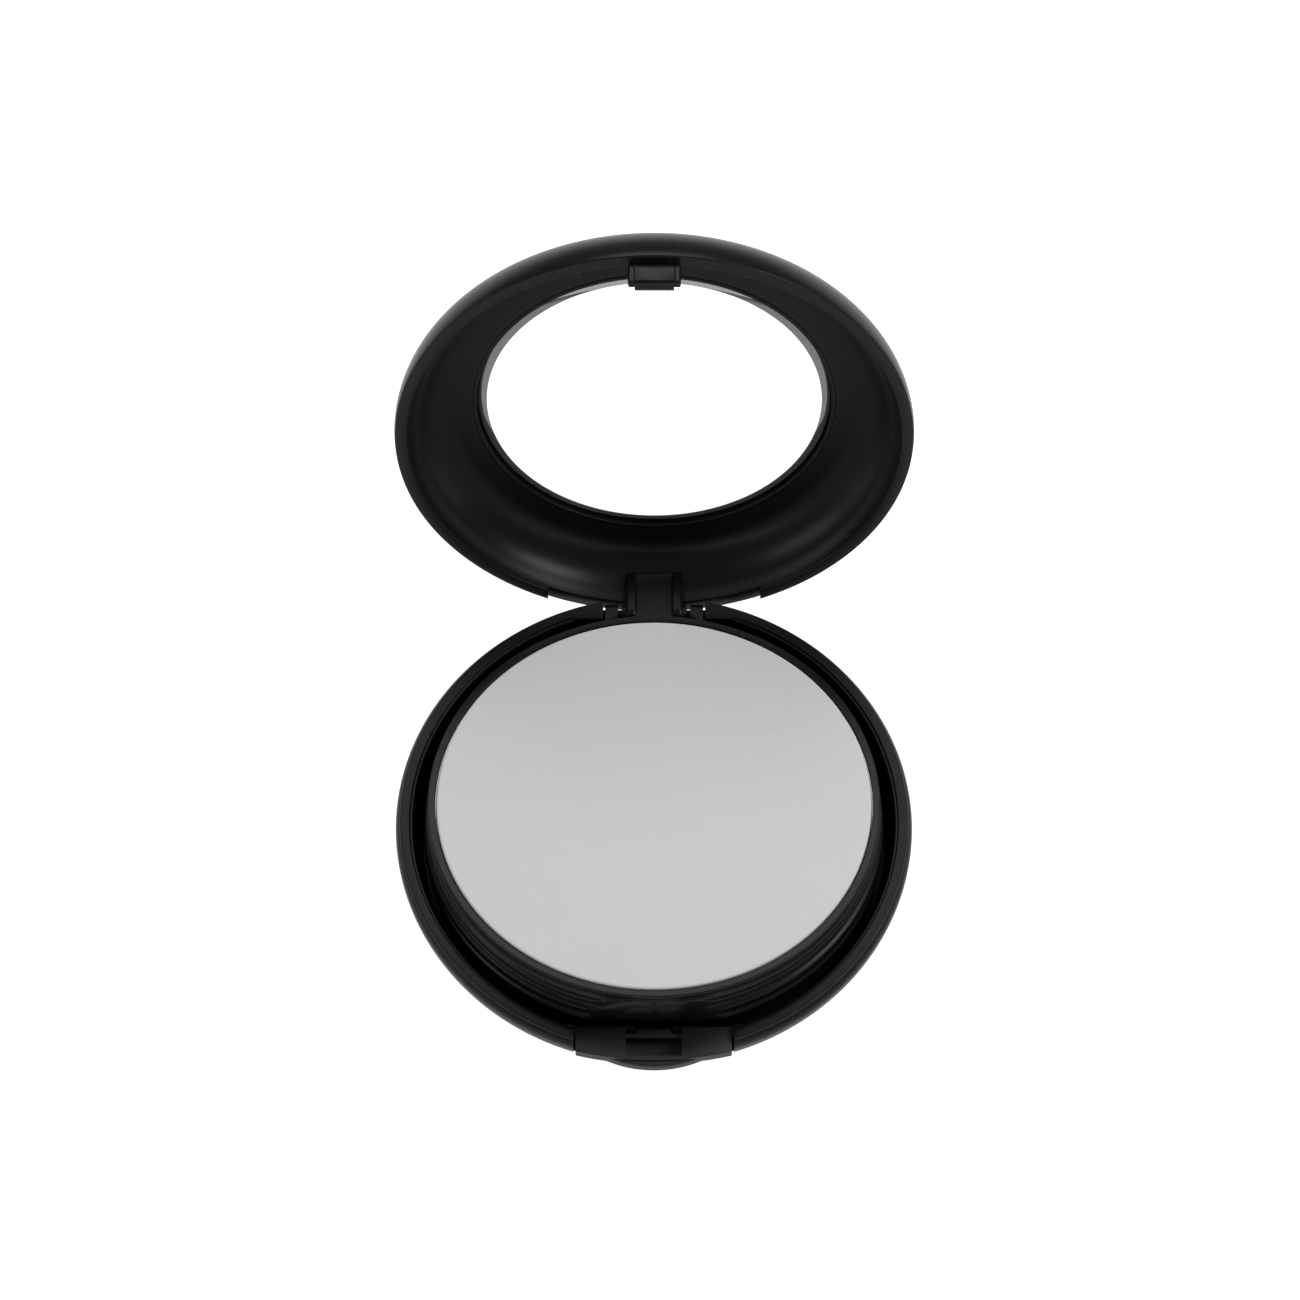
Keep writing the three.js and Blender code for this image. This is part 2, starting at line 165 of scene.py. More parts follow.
def rounded(corners, steps=4):
    """An outline from corners (r, z, rounding): each corner with a rounding above zero is cut by a
    quadratic curve (1-t)^2 A + 2t(1-t) P + t^2 B between points that far along its two edges."""
    pts = np.array([c[:2] for c in corners], float)
    out = []
    for i, corner in enumerate(corners):
        reach = corner[2] if len(corner) > 2 else 0.0
        if reach <= 0 or i in (0, len(corners) - 1):
            out.append(pts[i][None])
            continue
        before, after = pts[i - 1] - pts[i], pts[i + 1] - pts[i]
        la, lb = np.linalg.norm(before), np.linalg.norm(after)
        a = pts[i] + before / la * min(reach, la * 0.45)
        b = pts[i] + after / lb * min(reach, lb * 0.45)
        t = np.linspace(0, 1, steps + 1)[:, None]
        out.append((1 - t) ** 2 * a + 2 * t * (1 - t) * pts[i] + t ** 2 * b)
    return np.vstack(out)


def new_piece(name, mesh):
    """Puts a mesh into the scene as an object at the origin."""
    piece = bpy.data.objects.new(name, mesh)
    bpy.context.scene.collection.objects.link(piece)
    return piece


def grid_mesh(name, points, closed):
    """A quad mesh of a grid of points [u, v, xyz] in millimetres. It wraps round in u, and in v
    too when closed; doubles at poles are merged."""
    nu, nv = points.shape[:2]
    left = np.arange(nu * nv).reshape(nu, nv)
    right = np.roll(left, -1, 0)
    if closed:
        quads = np.stack([left, right, np.roll(right, -1, 1), np.roll(left, -1, 1)], -1)
    else:
        quads = np.stack([left[:, :-1], right[:, :-1], right[:, 1:], left[:, 1:]], -1)
    mesh = bpy.data.meshes.new(name)
    mesh.from_pydata((points.reshape(-1, 3) * MM).tolist(), [], quads.reshape(-1, 4).tolist())
    bm = bmesh.new()
    bm.from_mesh(mesh)
    bmesh.ops.remove_doubles(bm, verts=bm.verts, dist=MERGE)
    bmesh.ops.dissolve_degenerate(bm, edges=bm.edges, dist=MERGE)
    bmesh.ops.recalc_face_normals(bm, faces=bm.faces)
    bm.to_mesh(mesh)
    bm.free()
    return new_piece(name, mesh)


def turned(name, outline, segments=256):
    """An outline (r, z) turned about Z: the point (r cos u, r sin u, z) for each u and outline
    point. The outline starts and ends on the axis, or closes on itself."""
    u = np.linspace(0, 2 * pi, segments, endpoint=False)[:, None]
    r, z = outline[:, 0][None], outline[:, 1][None]
    pts = np.stack([r * np.cos(u), r * np.sin(u), np.broadcast_to(z, (segments, len(outline)))], -1)
    return grid_mesh(name, pts, closed=outline[0, 0] > 0)


def block(name, low, high):
    """A box as a cutter or a boss: its six faces between two corners."""
    x, y, z = zip(low, high)
    corners = np.array([[a, b, c] for a in x for b in y for c in z], float) * MM
    faces = [(0, 1, 3, 2), (4, 6, 7, 5), (0, 4, 5, 1), (2, 3, 7, 6), (0, 2, 6, 4), (1, 5, 7, 3)]
    mesh = bpy.data.meshes.new(name)
    mesh.from_pydata(corners.tolist(), [], faces)
    return new_piece(name, mesh)


def prism(name, outline, start, end, axis="x"):
    """A flat outline carried straight from start to end: along X for (y, z) points, or along Z
    for (x, y) points. Its ends are capped."""
    flat = np.asarray(outline, float)
    n = len(flat)
    ends = []
    for level in (start, end):
        fill = np.full((n, 1), level)
        ends.append(np.hstack([fill, flat]) if axis == "x" else np.hstack([flat, fill]))
    ring = np.arange(n)
    sides = np.stack([ring, np.roll(ring, -1), np.roll(ring, -1) + n, ring + n], -1).tolist()
    mesh = bpy.data.meshes.new(name)
    mesh.from_pydata((np.vstack(ends) * MM).tolist(), [],
                     sides + [ring[::-1].tolist(), (ring + n).tolist()])
    bm = bmesh.new()
    bm.from_mesh(mesh)
    bmesh.ops.recalc_face_normals(bm, faces=bm.faces)
    bm.to_mesh(mesh)
    bm.free()
    return new_piece(name, mesh)


def combine(piece, others, operation):
    """Joins or cuts piece with each of the others, which are used up."""
    for other in others:
        change = piece.modifiers.new("combine", "BOOLEAN")
        change.operation = operation
        change.solver = "EXACT"
        change.object = other
        bake_modifiers(piece)
        bpy.data.objects.remove(other)
    return piece


def within(piece, radius, top):
    """Keeps the part of a piece inside a cylinder about Z that stands from 0 to top."""
    limit = turned("limit", np.array([[0, 0], [radius, 0], [radius, top], [0, top]]))
    return combine(piece, [limit], "INTERSECT")


def bake_modifiers(piece):
    """Puts the result of the piece's modifiers into its mesh."""
    bpy.context.view_layer.update()
    seen = piece.evaluated_get(bpy.context.evaluated_depsgraph_get())
    mesh = bpy.data.meshes.new_from_object(seen)
    piece.modifiers.clear()
    piece.data = mesh


def soften(piece, width, segments=2, angle=34.0):
    """Rounds the piece's hard edges by a small bevel and shades it smooth."""
    if width > 0:
        bevel = piece.modifiers.new("edges", "BEVEL")
        bevel.width = width * MM
        bevel.segments = segments
        bevel.limit_method = "ANGLE"
        bevel.angle_limit = radians(angle)
        bevel.use_clamp_overlap = True
        bevel.harden_normals = False
        bake_modifiers(piece)
    smooth(piece)
    return piece


def smooth(piece, angle=32.0):
    mesh = piece.data
    mesh.polygons.foreach_set("use_smooth", np.ones(len(mesh.polygons), bool))
    mesh.set_sharp_from_angle(angle=radians(angle))


def move_points(piece, change):
    """Lets change edit the piece's points, an array [point, xyz] in metres."""
    mesh = piece.data
    co = np.empty(len(mesh.vertices) * 3)
    mesh.vertices.foreach_get("co", co)
    co = co.reshape(-1, 3)
    change(co)
    mesh.vertices.foreach_set("co", co.ravel())
    mesh.update()
    return piece


def swing(piece, angle, lift):
    """Places a piece modelled closed or seated: raised by lift, then turned about the hinge axis
    so that its front rises, y' = a cos t + b sin t and z' = -a sin t + b cos t."""
    t = radians(angle)

    def turn(co):
        a = co[:, 1] - AXIS_Y * MM
        b = co[:, 2] + (lift - AXIS_Z) * MM
        co[:, 1] = AXIS_Y * MM + a * cos(t) + b * sin(t)
        co[:, 2] = AXIS_Z * MM - a * sin(t) + b * cos(t)

    return move_points(piece, turn)


def finish_piece(piece, material, body, slot, *nodes):
    """Gives a piece its finish, its body and the CAD nodes that it stands for."""
    piece.data.materials.clear()
    piece.data.materials.append(material)
    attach(piece, body)
    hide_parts(*nodes)
    return piece


# ---------------------------------------------------------------- shader writing

class Wire:
    """A socket or a number that can be used in an expression; each operator adds a Math node."""

    def __init__(self, sheet, socket):
        self.sheet, self.socket = sheet, socket

    def _math(self, operation, *values):
        node = self.sheet.add("ShaderNodeMath", {"operation": operation}, *values)
        return Wire(self.sheet, node.outputs[0])

    def __add__(self, other):
        return self._math("ADD", self, other)

    def __radd__(self, other):
        return self._math("ADD", other, self)

    def __sub__(self, other):
        return self._math("SUBTRACT", self, other)

    def __rsub__(self, other):
        return self._math("SUBTRACT", other, self)

    def __mul__(self, other):
        return self._math("MULTIPLY", self, other)

    def __rmul__(self, other):
        return self._math("MULTIPLY", other, self)

    def step(self, low, high):
        """A soft step from 0 at low to 1 at high."""
        node = self.sheet.add("ShaderNodeMapRange", {"interpolation_type": "SMOOTHSTEP"},
                              self, low, high, 0.0, 1.0)
        return Wire(self.sheet, node.outputs[0])


class Sheet:
    """A material's node tree, with its Principled shader."""

    def __init__(self, name):
        self.material = bpy.data.materials.new(name)
        self.material.use_nodes = True
        self.tree = self.material.node_tree
        self.shader = next(n for n in self.tree.nodes if n.type == "BSDF_PRINCIPLED")

    def add(self, kind, settings=None, *values, **named):
        """Adds a node: its settings first, then its sockets' values or links in order or by name."""
        node = self.tree.nodes.new(kind)
        for key, value in (settings or {}).items():
            setattr(node, key, value)
        for socket, value in zip(node.inputs, values):
            self.feed(socket, value)
        for key, value in named.items():
            self.feed(node.inputs[key.replace("_", " ")], value)
        return node

    def feed(self, socket, value):
        if isinstance(value, Wire):
            self.tree.links.new(value.socket, socket)
        elif value is not None:
            socket.default_value = value

    def place(self):
        node = self.add("ShaderNodeTexCoord")
        return Wire(self, node.outputs["Object"])

    def stretched(self, scale):
        node = self.add("ShaderNodeMapping", None, Vector=self.place(), Scale=scale)
        return Wire(self, node.outputs[0])

    def noise(self, scale, detail=3.0, roughness=0.5, where=None):
        node = self.add("ShaderNodeTexNoise", None, Vector=where or self.place(), Scale=scale,
                        Detail=detail, Roughness=roughness)
        return Wire(self, node.outputs["Fac"])

    def cells(self, scale):
        node = self.add("ShaderNodeTexVoronoi", {"feature": "F1"}, Vector=self.place(),
                        Scale=scale)
        return Wire(self, node.outputs["Distance"])

    def mix(self, mask, first, second):
        node = self.add("ShaderNodeMix", {"data_type": "RGBA"})
        self.feed(node.inputs[0], mask)
        self.feed(node.inputs[6], first)
        self.feed(node.inputs[7], second)
        return Wire(self, node.outputs[2])

    def bump(self, height, distance, strength):
        node = self.add("ShaderNodeBump", None, Height=height, Distance=distance, Strength=strength)
        self.feed(self.shader.inputs["Normal"], Wire(self, node.outputs[0]))

    def set(self, **values):
        for key, value in values.items():
            self.feed(self.shader.inputs[key.replace("_", " ")], value)


def rgba(colour, scale=1.0):
    return tuple(c * scale for c in colour) + (1.0,)


def black_plastic(name, roughness, grain, shine):
    """Moulded black plastic: fine grain, faint flow clouds and a few rubbed streaks."""
    s = Sheet(name)
    cloud = s.noise(55.0, 2.0)
    fine = s.noise(2600.0, 2.0, 0.6)
    rub = s.noise(240.0, 4.0, 0.7, s.stretched((1.0, 6.0, 3.0))).step(0.60, 0.74)
    base = tuple(colours().case)
    s.set(Base_Color=s.mix(cloud, rgba(base, 0.88), rgba(base, 1.2)),
          Roughness=roughness + cloud * 0.05 + fine * 0.05 + rub * 0.05,
          Specular_IOR_Level=shine)
    s.bump(fine * grain, 0.00002, 0.5)
    return s.material


def pressed_powder(name):
    """Pressed powder: a chalky face with fine grains, soft press clouds and a few specks."""
    s = Sheet(name)
    base = tuple(colours().powder)
    cloud = s.noise(70.0, 3.0, 0.55)
    grain = s.noise(3600.0, 3.0, 0.7)
    speck = 1.0 - s.cells(420.0).step(0.035, 0.075)
    sparse = s.noise(190.0, 1.0).step(0.58, 0.66)
    tone = s.mix(cloud, rgba(base, 0.965), rgba(base, 1.03))
    grained = s.mix(grain.step(0.3, 0.7), tone, rgba(base, 1.015))
    s.set(Base_Color=s.mix(speck * sparse * 0.55, grained, rgba(base, 0.62)),
          Roughness=0.93 + grain * 0.05, Specular_IOR_Level=0.15, Sheen_Weight=0.05)
    s.bump(grain * 0.7 + cloud * 0.3 - speck * sparse * 0.6, 0.00008, 0.35)
    return s.material


def silvered_glass(name, p):
    """Polished mirror glass: a flat face made bright by a painted white reflection (white emission),
    inside a ground bevel coloured dark grey as a painted darker reflection, and a faint haze.
    """
    s = Sheet(name)
    haze = s.noise(160.0, 3.0)
    height = (sizes().lid_depth + p.glass_sunk + p.lid_lift - AXIS_Z) * MM
    t = radians(LID_OPEN)
    centre = (0.0, AXIS_Y * MM * (1 - cos(t)) + height * sin(t),
              AXIS_Z * MM + AXIS_Y * MM * sin(t) + height * cos(t))
    away = s.add("ShaderNodeVectorMath", {"operation": "DISTANCE"}, s.place(), centre)
    flat = MIRROR_RADIUS - p.mirror_bevel
    rim = Wire(s, away.outputs["Value"]).step((flat - 0.07) * MM, (flat + 0.03) * MM)
    # The flat face glows white, a painted white reflection; the bevel's dark grey colour is a painted
    # darker reflection.
    s.set(Base_Color=s.mix(rim, (0.97, 0.98, 0.98, 1.0), (0.16, 0.165, 0.17, 1.0)),
          Metallic=0.6, Roughness=0.03 + haze * 0.02,
          Emission_Color=s.mix(rim, WHITE, (0.0, 0.0, 0.0, 1.0)),
          Emission_Strength=MIRROR_PAINTED_REFLECTION)
    return s.material


def sheet_metal(name, roughness, colour):
    """Pressed metal with fine lines along X."""
    s = Sheet(name)
    line = s.noise(900.0, 3.0, 0.6, s.stretched((0.08, 1.0, 1.0)))
    s.set(Base_Color=s.mix(line, rgba(colour, 0.9), rgba(colour, 1.05)), Metallic=1.0,
          Roughness=roughness + line * 0.12)
    s.bump(line, 0.00001, 0.4)
    return s.material


def foam_latex(name):
    """Soft foam with open cells whose pores are coloured slightly darker, a painted shade in the cell
    hollows.
    """
    s = Sheet(name)
    base = tuple(colours().foam)
    pore = s.cells(1500.0).step(0.05, 0.4)
    cloud = s.noise(120.0, 3.0)
    skin = s.mix(cloud, rgba(base, 0.93), rgba(base, 1.05))
    # Pores coloured darker than the skin: painted shade in the cell hollows.
    s.set(Base_Color=s.mix(pore, rgba(base, 0.7), skin), Roughness=0.95,
          Specular_IOR_Level=0.15, Sheen_Weight=0.1)
    s.bump(pore + cloud * 0.4, 0.0001, 0.6)
    return s.material


def film_label(name):
    """Blank printed film: soft sheen with a faint fibre."""
    s = Sheet(name)
    base = tuple(colours().paper)
    fibre = s.noise(900.0, 4.0, 0.6, s.stretched((1.0, 0.3, 1.0)))
    s.set(Base_Color=s.mix(fibre, rgba(base, 0.95), rgba(base, 1.04)),
          Roughness=0.55 + fibre * 0.1)
    s.bump(fibre, 0.00002, 0.3)
    return s.material


def glue_film(name):
    """Thin cured glue, slightly cloudy."""
    s = Sheet(name)
    cloud = s.noise(300.0, 3.0)
    s.set(Base_Color=s.mix(cloud, (0.5, 0.48, 0.4, 1.0), (0.62, 0.6, 0.52, 1.0)),
          Roughness=0.4 + cloud * 0.2)
    return s.material


FINISHES = {}


def finish(kind):
    """The material of a finish, made once."""
    makers = {
        "case": lambda: black_plastic("case_black", 0.33, 0.8, 0.15),
        "button": lambda: black_plastic("button_black", 0.45, 1.0, 0.38),
        "lining": lambda: black_plastic("lid_lining_black", 0.27, 0.5, 0.16),
        "tray": lambda: black_plastic("tray_black", 0.24, 0.5, 0.14),
        "powder": lambda: pressed_powder("pressed_powder"),
        "mirror": lambda: silvered_glass("silvered_glass", Plan()),
        "tin": lambda: sheet_metal("pressed_tin", 0.28, (0.72, 0.73, 0.74)),
        "foam": lambda: foam_latex("foam_latex"),
        "paper": lambda: film_label("blank_film"),
        "glue": lambda: glue_film("glue_film"),
    }
    if kind not in FINISHES:
        FINISHES[kind] = makers[kind]()
    return FINISHES[kind]


# ---------------------------------------------------------------- derived sizes

class Plan:
    """Sizes worked out once from the frame and the property groups, in millimetres."""

    def __init__(self):
        s = sizes()
        self.gap, self.edge, self.wall = s.gap, s.edge, s.wall
        self.bond, self.glue = 0.1, 0.3
        self.rim_outer = BODY_RADIUS - 0.6
        self.rim_inner = self.rim_outer - s.rim_width
        self.shoulder = 1.7                 # rim plane down to the widest circle
        self.widest_z = RIM_Z - self.shoulder
        self.label_radius, self.label_recess = 13.5, 0.35
        self.recess_depth = 2.9
        self.skirt, self.skirt_inner = 7.6, PAN_RADIUS - 1.25
        self.compartment = self.skirt_inner - 0.2
        self.guard_back, self.guard = PAN_RADIUS + 0.4, 0.5
        self.guard_reach, self.guard_drop = 2, 1.6
        self.slot_depth, self.notch_depth = 5, 2.5
        self.hinge_room, self.hinge_depth = 3.4, 4.6
        self.plate_back = PAN_RADIUS + 0.9
        self.body_back = self.plate_back + 0.65
        self.tray_floor = 0.8
        self.tray_depth = (s.cake_thickness + s.pan_wall + self.glue + 2 * self.bond
                           + self.tray_floor)
        self.seat_depth = self.skirt - s.cake_proud + s.gap
        self.collar = self.rim_inner - 1.5
        self.pocket = PAN_RADIUS + 0.25
        self.lip = CAKE_RADIUS + 0.15
        self.lip_under = 0.65
        self.button_front = BODY_RADIUS + 0.4
        self.button_sag, self.plate = 1.3, 0.6
        self.thumb_half, self.thumb_reach, self.thumb_sag = 8.1, 0.75, 2.3
        self.lug = 4.0
        self.ear_in, self.ear_out = 5.0, 6.8
        self.slot = self.ear_out + s.gap
        self.pin = 0.6
        self.tray_lift = RIM_Z + s.cake_proud
        self.lid_lift = RIM_Z + s.gap
        self.lid_rim_inner = LID_RADIUS - 1.75
        self.glass_sunk = 0.35              # lid's inner floor up to the glass
        self.mirror_back = self.glass_sunk + s.mirror_thickness
        self.mirror_bevel, self.mirror_play = 1.15, 0.2
        self.cove_start = 27
        self.relief_half, self.relief_depth = 14.6, 0.8
        self.rib_place, self.rib_half = 10.3, 0.45
        self.catch_outer = BODY_RADIUS - 1.6
        self.catch_inner = self.catch_outer - 1.1
        self.catch_half, self.catch_length, self.hook_reach = 3.55, 3.3, 0.95
        self.pocket_half = self.catch_half + 0.25
        self.tongue_half, self.ledge_top = 2.35, 1.5
        self.ledge_front = self.catch_inner - 0.65
        self.lug_radius, self.lug_reach = 1.5, 4.3
        self.sponge_height, self.sponge_margin, self.sponge_edge = 7, 3, 1


# ---------------------------------------------------------------- pieces

def make_base(p):
    """The bowl: foot, elliptic flank, rounded rim, stepped recess and compartment, turned about
    Z; the button slot, the hinge slot and the lugs are cut and joined."""
    s = sizes()
    e = p.edge
    flank = arc((s.foot_radius, p.widest_z), (BODY_RADIUS - s.foot_radius, p.widest_z), -90, 0, 40)
    shoulder = arc((BODY_RADIUS - p.shoulder, p.widest_z), (p.shoulder, p.shoulder), 6, 48, 8)
    ledge = RIM_Z - p.seat_depth
    inner = rounded([
        (p.rim_outer - 0.05, RIM_Z - 0.25), (p.rim_outer - 0.02, RIM_Z, 0.18),
        (p.rim_inner + 0.4, RIM_Z, e), (p.rim_inner + 0.4, RIM_Z - 0.3, e),
        (p.rim_inner, RIM_Z - 0.3, e), (p.rim_inner, RIM_Z - p.recess_depth, 0.5),
        (p.collar + p.gap, ledge, 0.3), (p.compartment, ledge, e), (p.compartment, p.wall, 1.6),
        (0, p.wall)])
    floor = rounded([(0, p.label_recess), (p.label_radius, p.label_recess, 0.08),
                     (p.label_radius, 0, 0.1), (s.foot_radius, 0)])
    shell = turned("base_case", np.vstack([floor, flank[1:], shoulder, inner]))
    half = BUTTON_HALF + p.gap
    slot_back = -p.guard_back - p.guard
    sunk = 0.5                  # how deep the guard's foot goes into the ledge
    front = within(block("front", (-p.rim_inner, -p.rim_inner, ledge),
                         (p.rim_inner, slot_back, RIM_Z - 0.002)), p.rim_inner + 0.2, 20)
    guard = within(block("guard", (-half - p.guard_reach, slot_back, ledge - sunk),
                         (half + p.guard_reach, -p.guard_back, RIM_Z - p.guard_drop)),
                   p.rim_inner + 0.2, RIM_Z)
    lug = within(block("lug", (-p.slot - 4, AXIS_Y - 1.6, RIM_Z - 5),
                       (p.slot + 4, AXIS_Y + 0.4, RIM_Z)), p.rim_outer - 0.1, RIM_Z)
    combine(shell, [front, guard, lug], "UNION")
    notch_half = p.tongue_half + p.gap
    combine(shell, [
        block("slot", (-half, -FAR, RIM_Z - p.slot_depth - p.gap),
              (half, slot_back, RIM_Z + ABOVE)),
        block("notch", (-notch_half, -p.guard_back - 1, RIM_Z - p.notch_depth),
              (notch_half, -p.guard_back + 1, RIM_Z + ABOVE)),
        block("hinge", (-p.slot, AXIS_Y - p.hinge_room, RIM_Z - p.hinge_depth),
              (p.slot, FAR, RIM_Z + ABOVE)),
    ], "DIFFERENCE")
    return soften(shell, 0.09)


def front_arc(half, back, front, sag, steps=40):
    """The button's plan: an arc through (0, -front) that falls back by sag at its ends, closed by
    straight sides and a straight back."""
    radius = (half * half + sag * sag) / (2 * sag)
    t = np.linspace(-1, 1, steps + 1) * np.arcsin(half / radius)
    bow = np.column_stack([radius * np.sin(t), -front + radius * (1 - np.cos(t))])
    return np.vstack([bow, [half, -back], [-half, -back]])


def make_button(p):
    """The button: a top plate over a body, a thumb lip in front, a pocket for the catch."""
    top, low = BUTTON_HIGH[2], BUTTON_LOW[2]
    front, sag = p.button_front, p.button_sag
    plate = prism("latch_button_body", front_arc(BUTTON_HALF, p.plate_back, front, sag),
                  top - p.plate, top, "z")
    thumb = front_arc(p.thumb_half, front - 3, front + p.thumb_reach, p.thumb_sag)
    combine(plate, [
        prism("body", front_arc(BUTTON_HALF, p.body_back, front - 1, sag), top - 1.5, top - 0.5,
              "z"),
        prism("face", front_arc(BUTTON_HALF, p.body_back, front - 1.3, sag), low, top - 1.3, "z"),
        soften(prism("lip", thumb, top - 2, top - 0.35, "z"), 0.35, 5),
    ], "UNION")
    combine(plate, [block("pocket", (-p.pocket_half, -front + 0.65, RIM_Z - p.catch_length),
                          (p.pocket_half, -p.body_back + 3, top + 1))], "DIFFERENCE")
    ledge_high = RIM_Z - p.ledge_top
    combine(plate, [
        block("ledge", (-p.pocket_half - 0.2, -p.ledge_front, ledge_high - 0.6),
              (p.pocket_half + 0.2, -p.body_back, ledge_high)),
        block("tongue", (-p.tongue_half, -p.ledge_front, ledge_high - 0.6),
              (p.tongue_half, -p.plate_back, ledge_high)),
    ], "UNION")
    return soften(plate, 0.16, 3)


def make_tray(p):
    """The collar and floor: lip, two ridges and foot, turned about Z; flat front and ears with
    pin holes."""
    s = sizes()
    low = -p.skirt
    seat = -(s.cake_thickness + s.pan_wall) - p.glue - 2 * p.bond
    e = 0.16
    outline = rounded([
        (0, -p.tray_depth), (p.skirt_inner, -p.tray_depth, e), (p.skirt_inner, low, e),
        (p.collar, low, e), (p.collar, low + 0.7, e), (p.collar - 0.35, low + 1.0, e),
        (p.collar - 0.35, low + 2.2, e), (p.collar - 0.1, low + 2.45, e),
        (p.collar - 0.15, low + 2.75, e), (p.collar - 0.7, low + 3.05, e),
        (p.collar - 0.7, low + 4.2, e), (p.collar - 0.45, low + 4.45, e),
        (p.collar - 0.5, low + 4.75, e), (p.collar - 0.85, low + 5.05, e),
        (p.collar - 0.85, low + 6.1, e),
        (p.pocket + 0.62, -0.8, e), (p.pocket + 0.66, -0.3, e), (p.lip, -0.3, 0.12),
        (p.lip, -p.lip_under, 0.08), (p.pocket, -p.lip_under, e), (p.pocket, seat, e), (0, seat)])
    tray = turned("tray_collar", outline)
    half = BUTTON_HALF + 1.6
    flat = block("flat", (-half, -FAR, low - 1), (half, -PAN_RADIUS - 0.02, -1.95))
    core = turned("core", np.array([[0, low - 2], [PAN_RADIUS + 0.1, low - 2],
                                    [PAN_RADIUS + 0.1, 1], [0, 1]]))
    combine(flat, [core], "DIFFERENCE")
    combine(tray, [flat], "DIFFERENCE")
    eye_z = -s.cake_proud - (RIM_Z - AXIS_Z)
    ears = []
    for side in (-1, 1):
        x0, x1 = sorted((side * p.ear_in, side * p.ear_out))
        ears.append(prism("eye", arc((AXIS_Y, eye_z), (1.35, 1.35), 0, 350, 35), x0, x1))
        ears.append(prism("arm", [(AXIS_Y - 2.9, -p.tray_depth - 0.1), (AXIS_Y, eye_z - 1.34),
                                  (AXIS_Y, eye_z + 1.34), (AXIS_Y - 2.9, -1.1)], x0, x1))
    combine(tray, ears, "UNION")
    combine(tray, [
        prism("bore", arc((AXIS_Y, eye_z), (p.pin + 0.08, p.pin + 0.08), 0, 340, 17), -8, 8),
        block("gap", (-p.lug - p.gap, AXIS_Y - 2.2, -9), (p.lug + p.gap, FAR, -0.8)),
    ], "DIFFERENCE")
    return soften(tray, 0.07)


def make_lid(p):
    """The lid: elliptic dome outside, flat floor and elliptic cove inside, mirror recess; hinge
    lug, catch plate with hook, ribs and rear relief."""
    s = sizes()
    low = 0.9
    e = p.edge
    dome = arc((s.dome_radius, low), (LID_RADIUS - s.dome_radius, s.lid_height - low), 0, 90, 48)
    recess_top = s.lid_depth + p.mirror_back + p.glue + 2 * p.bond
    recess = MIRROR_RADIUS + p.mirror_play
    inside = rounded([
        (0, recess_top), (recess, recess_top, e), (recess, s.lid_depth - 0.2, 0.1),
        (recess + 0.45, s.lid_depth - 0.2, 0.15), (recess + 0.65, s.lid_depth, 0.1),
        (recess + 1.2, s.lid_depth)])
    cove = arc((p.cove_start, 0), (p.lid_rim_inner - p.cove_start, s.lid_depth), 90, 3, 36)
    rim = rounded([
        (p.lid_rim_inner, 0.25), (p.lid_rim_inner, 0, 0.14), (LID_RADIUS - 0.1, 0, 0.2),
        (LID_RADIUS - 0.02, 0.6)])
    outline = np.vstack([[[0, s.lid_height]], dome[::-1], rim[::-1], cove[::-1][:-1], inside[::-1]])
    shell = turned("lid_case", outline)
    near, wide = p.relief_half, p.relief_half + 0.4
    combine(shell, [prism("relief", [(-near, 20), (near, 20), (wide, FAR), (-wide, FAR)], -1,
                          p.relief_depth, "z")], "DIFFERENCE")
    eye_z = -(RIM_Z - AXIS_Z) - p.gap
    extras = []
    face, reach = AXIS_Y - p.lug_radius, p.lug_reach
    cheek = np.vstack([arc((AXIS_Y, eye_z), (p.lug_radius, p.lug_radius), 180, 360, 16),
                       [[AXIS_Y + 1.5, 2.2], [AXIS_Y - 0.8, reach + 1], [face, reach]]])
    for side in (-1, 1):
        extras.append(soften(
            prism("cheek", cheek, *sorted((side * (p.lug - 1.6), side * p.lug))), 0.45, 4))
    extras.append(prism("web", [
        (face + 0.6, eye_z - 1.4), (AXIS_Y + 0.9, eye_z - 1.4), (AXIS_Y + 1.3, 2.2),
        (AXIS_Y - 0.7, reach + 0.9), (face, reach - 0.1), (face + 0.6, reach - 0.8)],
        -p.lug + 1.4, p.lug - 1.4))
    for side in (-1, 1):
        extras.append(prism("shoulder", arc((AXIS_Y, eye_z), (1.3, 1.3), 0, 350, 35),
                            *sorted((side * (p.lug - 0.1), side * (p.lug + 0.5)))))
    extras += catch_parts(p)
    for side in (-1, 1):
        x = side * p.rib_place
        extras.append(block("rib", (x - p.rib_half, -p.catch_outer + 1.3, 0.6),
                            (x + p.rib_half, -p.catch_outer + 3.2, 3.2)))
    combine(shell, extras, "UNION")
    bore = prism("bore", arc((AXIS_Y, eye_z), (p.pin + 0.08, p.pin + 0.08), 0, 340, 17),
                 -p.lug - 1, p.lug + 1)
    combine(shell, [bore], "DIFFERENCE")
    return soften(shell, 0.09)


def catch_parts(p):
    """The catch plate with its hook, and the wings at its sides."""
    half, length, tip = p.catch_half, p.catch_length, -p.catch_inner + p.hook_reach
    plate = prism("plate", [
        (-p.catch_outer, 1.2), (-p.catch_outer, -length + 0.3), (-p.catch_outer + 0.3, -length),
        (-p.catch_inner + 0.1, -length), (tip, -length + 0.35), (tip, -length + 0.6),
        (-p.catch_inner, -length + 0.7), (-p.catch_inner, 1.6)], -half + 0.9, half - 0.9)
    wings = []
    for side in (-1, 1):
        x0, x1 = sorted((side * (half - 1), side * half))
        wings.append(soften(block("wing", (x0, -p.catch_outer, -length),
                                  (x1, -p.catch_inner + 0.15, 1.4)), 0.3, 3))
    return [plate] + wings


